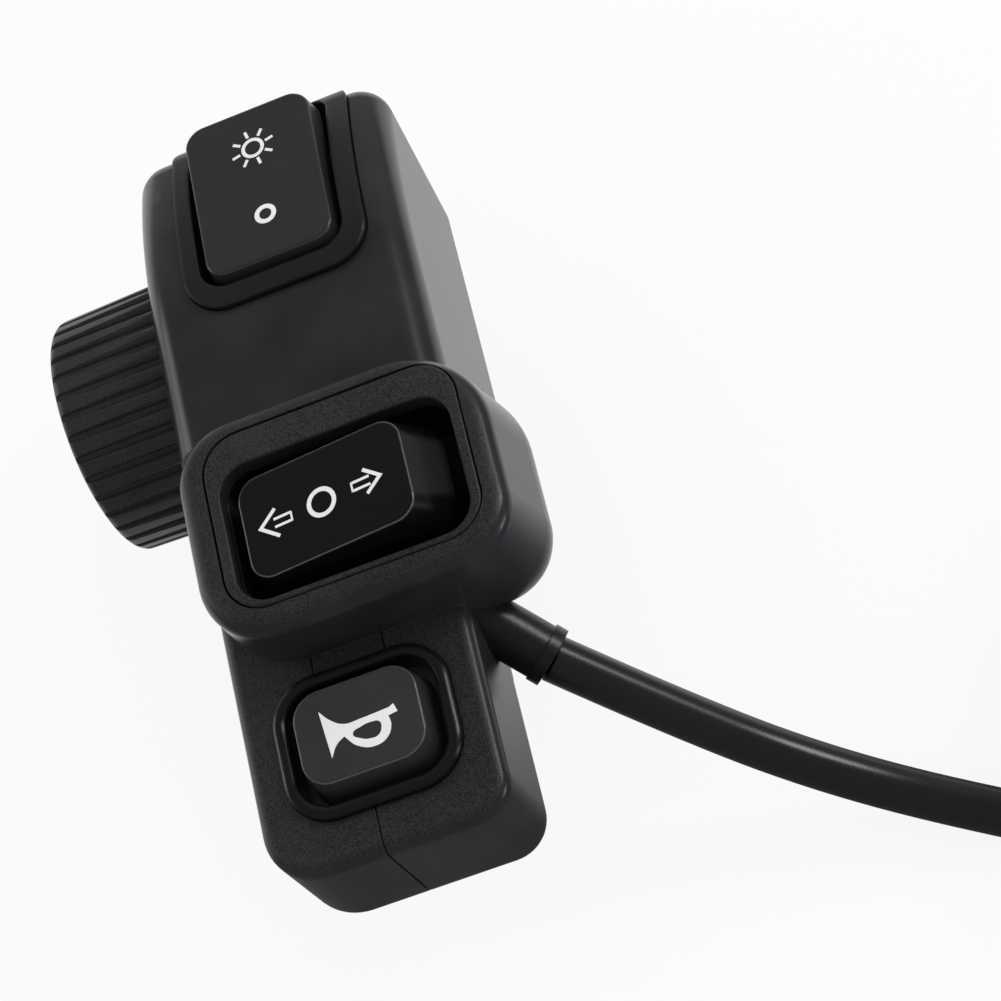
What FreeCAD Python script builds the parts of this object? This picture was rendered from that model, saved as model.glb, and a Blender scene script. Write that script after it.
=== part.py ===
import FreeCAD, Part
import math
import os

V = FreeCAD.Vector
X, Y, Z = V(1, 0, 0), V(0, 1, 0), V(0, 0, 1)

# Handlebar switch pod, millimetres. The origin is on the axis of the handlebar, which runs
# along X. +Y runs up the housing from the horn block to the headlight rocker, +Z towards
# the rider, out of the control faces.

# Handlebar and clamp
bar_d = 22.2                # common handlebar diameter
clamp_short = 5.0           # the clamp ends this far short of the horn block's right wall
split_gap = 1.0             # gap between the two clamp halves before tightening
clamp_wall = 3.2            # cap wall behind the bar
clamp_foot_y = 9.0          # half width of the cap's flat back
clamp_ear = 4.0             # ear reach past the screw axis
clamp_ear_t = 4.5           # ear thickness
clamp_r = 2.0               # corner radius of the clamp block
clamp_screw_d = 4.0
clamp_screw_wall = 2.4      # wall between the bar and the screw
clamp_screw_len = 12.0
clamp_head_d = 7.0
clamp_head_h = 4.0
clamp_head_sink = 0.6       # the screw heads sit this deep in the ears
clamp_chamfer_y, clamp_chamfer_z = 2.5, 2.0
hex_r, hex_depth = 1.7, 2.2           # socket in the screw heads
hole_gap = 0.4              # clearance of a screw's plain hole
insert_wall = 1.1           # wall of the threaded brass inserts
insert_len = 8.5
insert_margin = 2.0         # plastic round an insert
insert_room = 0.8           # free length past an insert

# Housing
wall = 2.5
col_left = -14.1            # left wall, shared by the three blocks
col_right = 18.3
col_base = 12.0             # where the column leaves the clamp block
col_front = 25.5            # straight part of the column's front face
col_bend = 28.0             # where the front face starts to curve back
col_bend_r = 62.0
col_top = 56.4              # top of the front face
col_top_back = 49.4         # the top slopes down to this height at the back
col_fillet = 4.0
turn_left = -12.9
turn_right = 24.7           # where the right wall is widest, above the back fillet
turn_lean = 1.7             # the right wall leans in this much to the front
turn_bottom = -15.4
turn_top = 11.8
turn_front = 29.8
turn_back = 12.4
turn_corner = 7.0
turn_low_corner = 8.5       # lower left corner
turn_top_corner = 11.0      # upper right corner
turn_fillet = 2.0
turn_back_fillet = 6.5
horn_right = 13.9
horn_bottom = -40.0
horn_front = 21.0
horn_back = 5.4
horn_corner = 4.5
horn_left_corner = 6.5
horn_fillet = 1.5
horn_back_fillet = 2.5
seam_x = -0.85              # parting line between the horn ring and the bottom
top_seams = (-4.4, 4.0)     # short parting lines above the ring
seam_w, seam_depth = 0.25, 0.4
lug_x = 20.9                # small lug beside the clamp, with two slits
lug_y0, lug_y1 = 5.2, 11.4
lug_z0, lug_z1 = 10.6, 17.4
sharp_r = 0.5               # corners that stay inside other blocks
lug_corner = 1.2
lug_slit, lug_slit_depth = 0.6, 3.2
lug_slits = (2.2, 4.2)      # from the lug's lower side
hollow_r = 2.0              # corner radius of the hollows
roof_drop = 8.5             # the column's hollow ends this far below its front
top_margin = 1.0
channel_w = 8.0             # wire channels from hollow to hollow
channel_rise, channel_h = 0.6, 3.8

# Covers
cover_t = 2.0
cover_lip = 1.4             # step that a cover lies on
cover_gap = 0.15
cover_screw_d = 2.0
cover_head_d = 3.8
cover_head_h = 1.0
cover_screw_len = 7.0
cover_hole_gap = 0.3
cover_hole_in, horn_hole_in = 4.4, 3.3      # screws from the covers' edges
cover_slot_w, cover_slot_d = 0.6, 0.5
post_wall = 1.3
post_gap = 0.4
horn_lip = 1.2
board_t = 1.6
board_z = 8.0
board_gap = 0.8             # from the hollow's walls
board_side_gap = 3.2        # beside the dial's nut
peg_d, peg_tip_d, peg_tip_h, peg_in = 3.2, 1.6, 0.6, 2.0
peg_shift = 4.0             # the left middle peg, clear of the dial's nut

# Headlight switch, laid out in its own tilted frame
head_x = 2.8                # centre of the rocker
head_y = 43.1               # where its axis leaves the front face
head_cap_w, head_cap_l = 16.5, 22.9
head_cap_rise = 1.3         # face above the bezel
head_cap_depth = 2.0        # cap below the bezel's surface
head_cap_corner = 2.6
head_cap_draft = 0.4
head_gap = 0.7
head_end_gap = 1.3          # room for the cap's ends when it tips
head_rock = 9.0             # each way from the middle, degrees
head_pin_d = 2.4
head_pin_depth = 4.2        # pin axis below the bezel's surface
head_well = 11.2            # depth of the well
head_stem_in = 2.4          # the stem's ends, inside the cap's sides
head_ear_over = 0.4         # ears above the pin
head_leaf_half = 6.4
head_contact = (4.4, 7.6, 1.2)        # contact's place x, y and half width
bezel_left, bezel_right = -8.2, 14.3
bezel_bottom = 27.8
bezel_corner = 5.0
bezel_rise = 0.8
bezel_inset = 1.4
bezel_seam = 0.12
bezel_tip_r, bezel_top_in = 3.0, 0.3        # its corners at the top edge
bezel_back = 12.0           # where it ends on the sloping top
bezel_over = 5.0            # the seat is cut this far outside the column

# Turn switch
rim_left, rim_right = -9.4, 20.5      # insert frame
rim_bottom, rim_top = -12.3, 9.4
rim_corner = 4.6
rim_t = 2.2
rim_gap = 0.2
rim_edge_r = 0.3
rim_ledge = 1.5             # ledge that the insert frame lies on
turn_open = (-8.0, 19.2, -11.5, 5.4)  # opening x, x, y, y
turn_open_corner = 3.6
turn_cap = (-6.9, 17.9, -10.0, 4.0)   # foot of the rocker cap, level
turn_face = (-4.8, 15.2, -9.5, 2.9)   # its face
turn_cap_corner = 2.6       # of the face
turn_foot_corner = 4.2
turn_cap_rise = 1.6
turn_cap_foot = 5.6         # foot below the face
turn_rock = 7.0             # each way from the middle, degrees
turn_pin_d = 2.8
turn_pin_z = 21.0
turn_floor = 13.8
turn_hollow_r = 3.0
turn_stem_half = 4.6
turn_ear_over = 1.0
turn_leaf_half = 7.0
turn_contact = (10.2, 1.0, 3.4)       # contact's place along the rocker and half sizes

# Inside both rocker switches
face_edge_r = 0.4           # rounding of a rocker's face
boss_wall = 1.1             # round the pin
stem_lap = 0.5              # the stem reaches this far into the cap
nose_half, nose_h, nose_len = 1.2, 0.9, 4.0     # nose that rides over the leaf
leaf_t, leaf_end, leaf_w = 0.3, 1.6, 3.4
base_t = 1.6
ear_t, ear_half = 1.4, 2.2
strip_t = 0.5               # contact strips

# Horn button
ring_x0, ring_x1, ring_y0, ring_y1 = -10.1, 10.4, -34.7, -17.7
ring_corner = 5.4
ring_w = 1.6
ring_edge_r = 0.6
ring_rise = 1.0
ring_depth = 2.4
horn_cap = (-7.9, 8.0, -32.4, -19.9)
horn_cap_corner = 3.6
horn_cap_draft = 0.8
horn_cap_taper = 0.4        # its corners grow this much tighter
horn_edge_r = 0.35
horn_cap_rise = 2.6
horn_side_room = 0.8        # hollow beyond the ring
horn_flange = 0.6           # flange that keeps the cap in
horn_flange_t = 1.0
horn_travel = 1.5
horn_stem_d = 4.0
horn_spring_d = 6.6
horn_spring_wire = 0.5
horn_spring_turns = 4
horn_base_t = 1.2
contact_t = 0.6
contact_rim = 0.6           # the bridge is this much wider than the stem
contact_rest = 0.2          # left between bridge and terminals when pressed
terminal_x0, terminal_x1, terminal_half = 0.5, 2.2, 1.0

# Dial on the left side
dial_y, dial_z = 30.2, 5.8
dial_d = 30.0
dial_len = 14.0
dial_wall = 2.4
dial_ribs = 35
dial_rib_h = 0.8
dial_taper = 0.35           # smaller radius at the outer end
dial_gap = 0.5              # between the dial and the housing
dial_shaft_d = 6.0
dial_body_d = 21.0
dial_body_l = 7.0
dial_floor = 2.5            # closed floor behind the shaft
dial_round = 1.2
dial_hub_wall = 2.0
dial_rib_share = 0.76       # share of a step that is rib
spigot_d = 5.0
nut_t, nut_r = 2.0, 3.25

# Cable
cable_d = 5.4
sleeve_d = 6.4
sleeve_start = V(15.4, -16.2, 13.5)
cable_start = V(19.4, -20.1, 10.4)    # outer end of the sleeve
sleeve_ring_d = 6.9
sleeve_ring_l = 1.4
sleeve_in = 5.5             # sleeve inside the wall
entry_in = 7.0              # cable inside the wall
cable_bends = (V(28.3, -26.6, 3.2), V(40.6, -34.7, -6.2))
cable_down = (55.8, -43.6)  # where it comes to lie
heading = V(0.86, -0.51, 0).normalize()
coil_r = 27.0
coil_turns = 2.25
coil_pitch = 6.0
coil_away = 33.0            # straight cable between the last bend and the coil
tail_runs = (20.0, 26.0, 18.0)        # straight runs of the end that goes round the coil
tail_turn = 31.0            # how much it turns between them, degrees
plug_l, plug_w, plug_h = 24.0, 13.0, 10.0
plug_wall = 1.4
plug_edge_r = 1.2
plug_boot_l = 3.0
boot_wall, boot_step = 0.8, 0.8
socket_depth = 10.8
latch_x, latch_l, latch_w, latch_h = 7.2, 13.2, 4.4, 1.0
pin_d, pin_l = 1.2, 7.2
pin_rows, pin_columns = (-1.6, 1.6), (-3.2, 0, 3.2)

fit = 0.05                  # radial clearance of a running fit
touch = 0.3                 # clearance between moving surfaces
lap = 0.1                   # how far fused pieces reach into each other
reach = 120.0               # length of a cut that goes right through

bar_r = bar_d / 2
floor_z = -(bar_r + clamp_wall)
screw_y = bar_r + clamp_screw_wall + clamp_screw_d / 2
block_y = screw_y + clamp_ear
housing_back = split_gap / 2

os.makedirs("parts", exist_ok=True)


def save(name, shape):
    """Write one sub-part as its own file."""
    if shape.ShapeType == "Compound" and len(shape.Solids) == 1:
        shape = shape.Solids[0]
    shape.exportStep("parts/" + name + ".step")
    box = shape.BoundBox
    print("%-22s solids %d valid %s volume %9.2f  x %.1f %.1f  y %.1f %.1f  z %.1f %.1f" % (
        name, len(shape.Solids), shape.isValid(), shape.Volume,
        box.XMin, box.XMax, box.YMin, box.YMax, box.ZMin, box.ZMax))


def block(x0, x1, y0, y1, z0, z1):
    return Part.makeBox(x1 - x0, y1 - y0, z1 - z0, V(x0, y0, z0))


def outline(x0, x1, y0, y1, r, z=0.0):
    """Closed rounded rectangle; r is one radius or one for each corner, counted from the
    lower left anticlockwise."""
    r = [r] * 4 if isinstance(r, (int, float)) else list(r)
    corners = [(x0, y0, 1, 1), (x1, y0, -1, 1), (x1, y1, -1, -1), (x0, y1, 1, -1)]
    edges, ends = [], []
    for k, (cx, cy, sx, sy) in enumerate(corners):
        q = r[k]
        along = V(cx, cy + sy * q, z), V(cx + sx * q, cy, z)
        a, b = along if k % 2 == 0 else along[::-1]
        s = q * (1 - math.sqrt(0.5))
        edges.append(Part.Arc(a, V(cx + sx * s, cy + sy * s, z), b).toShape())
        ends.append((a, b))
    for k in range(4):
        start, stop = ends[k][1], ends[(k + 1) % 4][0]
        edges.append(Part.makeLine(start, stop))
    return Part.Wire(Part.__sortEdges__(edges))


def prism(x0, x1, y0, y1, z0, z1, r):
    """Rounded rectangle standing from z0 to z1."""
    return Part.Face(outline(x0, x1, y0, y1, r, z0)).extrude(V(0, 0, z1 - z0))


def pyramid(low, z0, r0, high, z1, r1):
    """Rounded block that changes from one outline to another."""
    return Part.makeLoft([outline(*low, r0, z0), outline(*high, r1, z1)], True)


def slab(points, axis, start, stop):
    """A flat outline, given across and up, stretched along X or along Y."""
    corners = [V(start, u, w) if axis.x else V(u, start, w) for u, w in points]
    return Part.Face(Part.makePolygon(corners + corners[:1])).extrude(axis * (stop - start))


def tent(half, low, top):
    """Side view of a sprung leaf that rises to a ridge in its middle."""
    rise = [(-half, low), (-half, low + leaf_t), (-half + leaf_end, low + leaf_t)]
    return rise + [(0, top)] + [(-u, w) for u, w in rise[::-1]]


def rod(d, start, direction, length):
    return Part.makeCylinder(d / 2, length, start, direction)


def between(d, a, b):
    return Part.makeCylinder(d / 2, (b - a).Length, a, b - a)


def moved(points, by):
    """Outline points shifted across."""
    return [(u + by, w) for u, w in points]


def edges_at(shape, test):
    """The edges whose middle passes the test."""
    found = []
    for e in shape.Edges:
        m = e.valueAt((e.FirstParameter + e.LastParameter) / 2)
        if test(m, e):
            found.append(e)
    return found


def near(a, b, tol=0.02):
    return abs(a - b) < tol


def helix_arcs(centre, radius, heading, turns, pitch):
    """A climbing coil as arcs: each quarter turn is two arcs that share their tangents."""
    side = V(-heading.y, heading.x, 0)
    rise = pitch / (2 * math.pi)

    def point(t):
        return centre + heading * (radius * math.sin(t)) - side * (radius * math.cos(t)) + Z * (rise * t)

    def tangent(t):
        return (heading * (radius * math.cos(t)) + side * (radius * math.sin(t)) + Z * rise).normalize()

    edges = []
    steps = round(turns * 4)
    for k in range(steps):
        t0, t1 = k * math.pi / 2, (k + 1) * math.pi / 2
        p, q, a, b = point(t0), point(t1), tangent(t0), tangent(t1)
        v = q - p
        c = 2 * (1 - a.dot(b))
        d = (-v.dot(a + b) + math.sqrt(v.dot(a + b) ** 2 + c * v.dot(v))) / c
        m = (p + q + (a - b) * d) * 0.5
        edges += [arc_from(p, a, m), arc_from(q, b * -1, m, True)]
    return edges, point(0), point(steps * math.pi / 2), tangent(0), tangent(steps * math.pi / 2)


def arc_from(p, t, q, swap=False):
    """The arc that leaves p along t and ends at q."""
    chord = q - p
    half = chord.Length / 2
    along = chord * (1 / chord.Length)
    side = t - along * t.dot(along)
    angle = math.atan2(side.Length, t.dot(along))
    mid = (p + q) * 0.5 + side.normalize() * (half * math.tan(angle / 2))
    return (Part.Arc(q, mid, p) if swap else Part.Arc(p, mid, q)).toShape()


def rounded_path(points):
    """Straight runs joined by tangent arcs, each as large as its two runs allow."""
    edges, radii, at = [], [], points[0]
    for k in range(1, len(points) - 1):
        a, p, b = points[k - 1], points[k], points[k + 1]
        u, w = (a - p).normalize(), (b - p).normalize()
        half_turn = (math.pi - u.getAngle(w)) / 2
        cut = 0.45 * min((a - p).Length, (b - p).Length)
        r = cut / math.tan(half_turn)
        radii.append(r)
        start, stop = p + u * cut, p + w * cut
        middle = (u + w).normalize()
        mid = p + middle * (r / math.cos(half_turn) - r)
        edges.append(Part.makeLine(at, start))
        edges.append(Part.Arc(start, mid, stop).toShape())
        at = stop
    edges.append(Part.makeLine(at, points[-1]))
    print("radii", [round(r, 1) for r in radii])
    return edges


def tube(edges, d):
    """A round bar along a path."""
    path = Part.Wire(edges)
    start = edges[0].valueAt(edges[0].FirstParameter)
    ahead = edges[0].tangentAt(edges[0].FirstParameter)
    section = Part.Wire([Part.makeCircle(d / 2, start, ahead)])
    shape = path.makePipeShell([section], True, False)
    length = sum(e.Length for e in edges)
    print("tube volume %.1f, section times length %.1f, length %.1f" % (
        shape.Volume, math.pi * d * d / 4 * length, length))
    return shape


# Column: side profile with a curved front, drawn in YZ and extruded along X
def bend_z(y, r, front):
    return front - r + math.sqrt(r * r - (y - col_bend) ** 2)


def column(grow, x0, x1):
    """The column's block, its front and top moved outwards by grow."""
    front, r, top = col_front + grow, col_bend_r + grow, col_top + grow
    back_y = col_top_back + grow
    mid_y = (col_bend + top) / 2
    a, b = V(x0, col_base, housing_back), V(x0, back_y, housing_back)
    c = V(x0, top, bend_z(top, r, front))
    m = V(x0, mid_y, bend_z(mid_y, r, front))
    d, e = V(x0, col_bend, front), V(x0, col_base, front)
    edges = [Part.makeLine(a, b), Part.makeLine(b, c), Part.Arc(c, m, d).toShape(),
             Part.makeLine(d, e), Part.makeLine(e, a)]
    return Part.Face(Part.Wire(edges)).extrude(V(x1 - x0, 0, 0))


body = column(0, col_left, col_right)
rim = edges_at(body, lambda m, e: (near(m.x, col_left) or near(m.x, col_right))
               and m.z > housing_back + 1 and m.y > col_base + 1)
cross = edges_at(body, lambda m, e: near(m.x, (col_left + col_right) / 2) and near(m.y, col_top))
column_block = body.makeFillet(col_fillet, rim + cross)

turn_corners = [turn_low_corner, turn_corner, turn_top_corner, turn_corner]
lean = turn_lean / (turn_front - turn_back - turn_back_fillet)
turn_block = pyramid(
    (turn_left, turn_right + lean * turn_back_fillet, turn_bottom, turn_top), turn_back, turn_corners,
    (turn_left, turn_right - turn_lean, turn_bottom, turn_top), turn_front, turn_corners)
turn_block = turn_block.makeFillet(turn_fillet, edges_at(turn_block, lambda m, e: near(m.z, turn_front)))
turn_block = turn_block.makeFillet(turn_back_fillet, edges_at(turn_block, lambda m, e: near(m.z, turn_back)))


def horn_body(inset):
    """The horn block, its outside moved inwards."""
    top = turn_bottom + turn_low_corner
    shape = prism(col_left + inset, horn_right - inset, horn_bottom + inset, top,
                  horn_back + inset, horn_front - inset,
                  [horn_left_corner - inset, horn_corner - inset, sharp_r, sharp_r])
    for z, r in ((horn_front - inset, horn_fillet), (horn_back + inset, horn_back_fillet)):
        outer = edges_at(shape, lambda m, e: near(m.z, z) and m.y < top - horn_corner)
        shape = shape.makeFillet(r - inset, outer)
    return shape


horn_block = horn_body(0)
horn_skin = horn_block.cut(horn_body(seam_depth))
seam_runs = [(seam_x, horn_bottom - 1, ring_y0 + 1)] + [(x, ring_y1 - 1, turn_bottom) for x in top_seams]
seams = [block(x - seam_w / 2, x + seam_w / 2, y0, y1, horn_back, horn_front + 1).common(horn_skin)
         for x, y0, y1 in seam_runs]

clamp_x0, clamp_x1 = col_left, horn_right - clamp_short
clamp_x = (clamp_x0 + clamp_x1) / 2
clamp_block = prism(clamp_x0, clamp_x1, -block_y, block_y, housing_back, turn_back + wall, clamp_r)
lug = prism(clamp_x1 - clamp_r, lug_x, lug_y0, lug_y1, lug_z0, lug_z1, lug_corner)
for y in (lug_y0 + up for up in lug_slits):
    lug = lug.cut(block(lug_x - lug_slit_depth, lug_x + 1, y, y + lug_slit, lug_z0 - 1, lug_z1 - 1))

# Headlight switch frame: u along X, v up the tilted face, w out of it
head_run = head_y - col_bend
head_tilt = math.degrees(math.asin(head_run / col_bend_r))
head_z = bend_z(head_y, col_bend_r, col_front) + bezel_rise


def head_place(shape, rock=0.0):
    """Carry a shape from the headlight switch's frame to the housing."""
    s = shape.copy()
    if rock:
        s.rotate(V(0, 0, -head_pin_depth), X, rock)
    s.rotate(V(0, 0, 0), X, -head_tilt)
    s.translate(V(head_x, head_y, head_z))
    return s


head_open_w = head_cap_w / 2 + head_gap
head_open_l = head_cap_l / 2 + head_end_gap
head_well_cut = head_place(prism(-head_open_w, head_open_w, -head_open_l, head_open_l,
                                 -head_well, head_well, head_cap_corner + head_gap))

# Raised bezel that follows the curved face and folds over the top edge
def rounded_column(grow, x0, x1):
    """The column's block with its top front edge rounded like the housing's."""
    shape = column(grow, x0, x1)
    return shape.makeFillet(col_fillet + grow, edges_at(
        shape, lambda m, e: near(m.x, (x0 + x1) / 2) and near(m.y, col_top + grow)))


bezel_shell = rounded_column(bezel_rise, bezel_left, bezel_right).cut(
    rounded_column(-bezel_inset, bezel_left - 1, bezel_right + 1))
bezel_top = col_top - bezel_top_in
bezel_shell = bezel_shell.common(prism(bezel_left, bezel_right, bezel_bottom, bezel_top, bezel_back, reach,
                                       [bezel_corner, bezel_corner, bezel_tip_r, bezel_tip_r]))
bezel = bezel_shell.cut(head_well_cut)
bezel_seat = column(bezel_over, bezel_left - bezel_seam, bezel_right + bezel_seam).cut(
    rounded_column(-bezel_inset - 0.02, bezel_left - 2, bezel_right + 2)).common(
    prism(bezel_left - bezel_seam, bezel_right + bezel_seam, bezel_bottom - bezel_seam, bezel_top + bezel_seam,
          bezel_back - bezel_seam, reach,
          [bezel_corner + bezel_seam] * 2 + [bezel_tip_r + bezel_seam] * 2))

# Hollows
hollow_left, hollow_right = col_left + wall, col_right - wall
hollow_y0 = screw_y + clamp_screw_d / 2 + insert_wall + insert_margin
hollow_y1 = col_top_back - wall - top_margin
hollow_top = col_front - roof_drop
cover_z = housing_back + cover_t
column_hollow = prism(hollow_left, hollow_right, hollow_y0, hollow_y1, housing_back - 1, hollow_top, hollow_r)
back_seat = (hollow_left - cover_lip, hollow_right + cover_lip, hollow_y0 - cover_lip, hollow_y1 + cover_lip)
column_hollow = column_hollow.fuse(prism(*back_seat, housing_back - 1, cover_z, hollow_r))
turn_room = (rim_left + rim_ledge, rim_right - rim_ledge, rim_bottom + rim_ledge, rim_top - rim_ledge)
turn_hollow = prism(*turn_room, turn_floor, turn_front + 1, turn_hollow_r)
rim_seat = prism(rim_left - rim_gap, rim_right + rim_gap, rim_bottom - rim_gap, rim_top + rim_gap,
                 turn_front - rim_t, turn_front + 1, rim_corner + rim_gap)
insert_d = clamp_screw_d + 2 * insert_wall
insert_top = housing_back + insert_len + insert_room
horn_hollow_box = (col_left + wall, horn_right - wall, horn_bottom + wall, ring_y1 + horn_side_room)
horn_low_box = horn_hollow_box[:3] + (-(screw_y + insert_d / 2 + top_margin + horn_lip),)
horn_cover_z = horn_back + cover_t
horn_seat = (horn_low_box[0] - horn_lip, horn_low_box[1] + horn_lip,
             horn_low_box[2] - horn_lip, horn_low_box[3] + horn_lip)
flange_z = horn_front - wall - touch
horn_hollow = prism(*horn_hollow_box, insert_top + channel_rise, horn_front - wall, hollow_r)
horn_hollow = horn_hollow.fuse([prism(*horn_low_box, horn_back - 1, insert_top + 1, hollow_r),
                                prism(*horn_seat, horn_back - 1, horn_cover_z, hollow_r)])
ring_hole = prism(ring_x0 + ring_w, ring_x1 - ring_w, ring_y0 + ring_w, ring_y1 - ring_w,
                  horn_front - wall - 2, horn_front + 2, ring_corner - ring_w)
ring_seat = prism(ring_x0 - fit, ring_x1 + fit, ring_y0 - fit, ring_y1 + fit,
                  horn_front + ring_rise - ring_depth, horn_front + 2, ring_corner + fit)
channel_z = turn_floor + channel_rise
channel_runs = ((turn_room[3] - 1, hollow_y0 + 1), (horn_hollow_box[3] - 1, turn_room[2] + 1))
channels = [block(-channel_w / 2, channel_w / 2, y0, y1, channel_z, channel_z + channel_h)
            for y0, y1 in channel_runs]

sleeve_axis = (cable_start - sleeve_start).normalize()
inner_end = sleeve_start - sleeve_axis * sleeve_in
sleeve_bore = between(sleeve_d + 2 * fit, sleeve_start - sleeve_axis * (entry_in + 1), cable_start)

housing = column_block.fuse([turn_block, horn_block, clamp_block, lug]).removeSplitter()
bar_hole = rod(bar_d, V(-reach / 2, 0, 0), X, reach)
cuts = seams + channels
cuts += [bar_hole, column_hollow, turn_hollow, rim_seat, horn_hollow, ring_hole,
         ring_seat, bezel_seat, head_well_cut, sleeve_bore,
         rod(spigot_d + 2 * fit, V(col_left - 1, dial_y, dial_z), X, wall + 2)]
for s in (-1, 1):
    cuts.append(rod(insert_d, V(clamp_x, s * screw_y, housing_back - 1), Z, insert_len + 1))
    hole_start = V(clamp_x, s * screw_y, housing_back)
    cuts.append(rod(clamp_screw_d + hole_gap, hole_start, Z, insert_top - housing_back))


def opposite_corners(seat, inset):
    return [(seat[0] + inset, seat[2] + inset), (seat[1] - inset, seat[3] - inset)]


cover_holes = opposite_corners(back_seat, cover_hole_in)
horn_holes = opposite_corners(horn_seat, horn_hole_in)
post_d = cover_screw_d + 2 * post_wall
posts = [rod(post_d, V(x, y, cover_z), Z, hollow_top - cover_z + 1) for x, y in cover_holes]
horn_post_top = flange_z - horn_flange_t - horn_travel - touch
posts += [rod(post_d, V(x, y, horn_cover_z), Z, horn_post_top - horn_cover_z) for x, y in horn_holes]
housing = housing.cut(cuts)
housing = housing.fuse(posts)
housing = housing.cut([rod(cover_screw_d, V(x, y, cover_z - 1), Z, cover_screw_len) for x, y in cover_holes]
                      + [rod(cover_screw_d, V(x, y, horn_cover_z - 1), Z, cover_screw_len)
                         for x, y in horn_holes] + [head_well_cut, ring_hole])
save("housing", housing.removeSplitter())
save("headlight_bezel", bezel)

# Back covers and their screws
g = cover_gap
rear_cover = prism(back_seat[0] + g, back_seat[1] - g, back_seat[2] + g, back_seat[3] - g,
                   housing_back, cover_z, hollow_r - g)
horn_cover = prism(horn_seat[0] + g, horn_seat[1] - g, horn_seat[2] + g, horn_seat[3] - g,
                   horn_back, horn_cover_z, hollow_r - g)
screws = []
for (x, y), z in [(p, housing_back) for p in cover_holes] + [(p, horn_back) for p in horn_holes]:
    hole = rod(cover_screw_d + cover_hole_gap, V(x, y, z - 1), Z, cover_t + 2).fuse(
        rod(cover_head_d + cover_hole_gap, V(x, y, z - 1), Z, 1 + cover_head_h))
    rear_cover, horn_cover = rear_cover.cut(hole), horn_cover.cut(hole)
    screw = rod(cover_head_d, V(x, y, z), Z, cover_head_h).fuse(
        rod(cover_screw_d - 2 * fit, V(x, y, z), Z, cover_screw_len))
    slot = block(x - cover_slot_w / 2, x + cover_slot_w / 2, y - cover_head_d, y + cover_head_d,
                 z - 1, z + cover_slot_d)
    screws.append(screw.cut(slot))

# Board on the rear cover's own pegs
board_x0, board_x1 = hollow_left + board_side_gap, hollow_right - board_gap
board_y0, board_y1 = hollow_y0 + board_gap, hollow_y1 - board_gap
board_mid = (board_y0 + board_y1) / 2
pegs = [(board_x0 + peg_in, board_y1 - peg_in), (board_x1 - peg_in, board_y0 + peg_in),
        (board_x0 + peg_in, board_mid + peg_shift), (board_x1 - peg_in, board_mid)]
board = block(board_x0, board_x1, board_y0, board_y1, board_z, board_z + board_t)
half_post = post_d / 2 + post_gap
(low_x, low_y), (high_x, high_y) = cover_holes
board = board.cut([block(board_x0 - 1, low_x + half_post, board_y0 - 1, low_y + half_post, 0, reach),
                   block(high_x - half_post, board_x1 + 1, high_y - half_post, board_y1 + 1, 0, reach)])
for x, y in pegs:
    rear_cover = rear_cover.fuse([rod(peg_d, V(x, y, cover_z - lap), Z, board_z - cover_z + lap),
                                  rod(peg_tip_d, V(x, y, board_z - lap), Z, board_t + peg_tip_h + lap)])
    board = board.cut(rod(peg_tip_d + 2 * fit, V(x, y, board_z - 1), Z, board_t + 2))
save("rear_cover", rear_cover.removeSplitter())
save("horn_cover", horn_cover.common(horn_block))
save("cover_screws", Part.makeCompound(screws))
save("circuit_board", board)

# Clamp cap, brass inserts and screws
ear_z = -housing_back - clamp_ear_t
right_half = [(block_y, -housing_back), (block_y, ear_z),
              (clamp_foot_y + clamp_chamfer_y, floor_z + clamp_chamfer_z), (clamp_foot_y, floor_z)]
cap = slab(right_half + [(-u, w) for u, w in right_half[::-1]], X, clamp_x0, clamp_x1)
cap = cap.common(prism(clamp_x0, clamp_x1, -block_y, block_y, floor_z - 1, 0, clamp_r)).cut(bar_hole)
inserts, clamp_screws = [], []
seat_z = ear_z + clamp_head_sink
for s in (-1, 1):
    at = V(clamp_x, s * screw_y, 0)
    cap = cap.cut([rod(clamp_screw_d + hole_gap, at + Z * (floor_z - 1), Z, -floor_z + 2),
                   rod(clamp_head_d + hole_gap, at + Z * (floor_z - 1), Z, seat_z - floor_z + 1)])
    inserts.append(rod(insert_d - 2 * fit, at + Z * housing_back, Z, insert_len).cut(
        rod(clamp_screw_d + 2 * fit, at, Z, insert_len + 2)))
    screw = rod(clamp_head_d, at + Z * (seat_z - clamp_head_h), Z, clamp_head_h).fuse(
        rod(clamp_screw_d, at + Z * (seat_z - lap), Z, clamp_screw_len + lap))
    hexagon = Part.Face(Part.makePolygon([at + V(hex_r * math.cos(math.radians(60 * k)),
                                                 hex_r * math.sin(math.radians(60 * k)),
                                                 seat_z - clamp_head_h - 1) for k in range(7)]))
    clamp_screws.append(screw.cut(hexagon.extrude(Z * (hex_depth + 1))))
save("clamp_cap", cap)
save("clamp_inserts", Part.makeCompound(inserts))
save("clamp_screws", Part.makeCompound(clamp_screws))

# Headlight rocker, latched with its lower half pressed in
a, b = head_cap_w / 2, head_cap_l / 2
d = head_cap_draft
cap_top = pyramid((-a, a, -b, b), -head_cap_depth, head_cap_corner,
                  (-a + d, a - d, -b + d, b - d), head_cap_rise, head_cap_corner)
cap_top = cap_top.makeFillet(face_edge_r, edges_at(cap_top, lambda m, e: near(m.z, head_cap_rise)))
stem_half = a - head_stem_in
boss_r = head_pin_d / 2 + boss_wall
stem = block(-stem_half, stem_half, -boss_r, boss_r, -head_pin_depth, -head_cap_depth + stem_lap).fuse(
    rod(2 * boss_r, V(-stem_half, 0, -head_pin_depth), X, 2 * stem_half))
nose_tip = -head_pin_depth - boss_r - nose_h
nose_view = [(-nose_half, -head_pin_depth), (0, nose_tip), (nose_half, -head_pin_depth)]
nose = slab(nose_view, X, -nose_len / 2, nose_len / 2)
pin_hole = rod(head_pin_d + 2 * fit, V(-reach / 2, 0, -head_pin_depth), X, reach)
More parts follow.
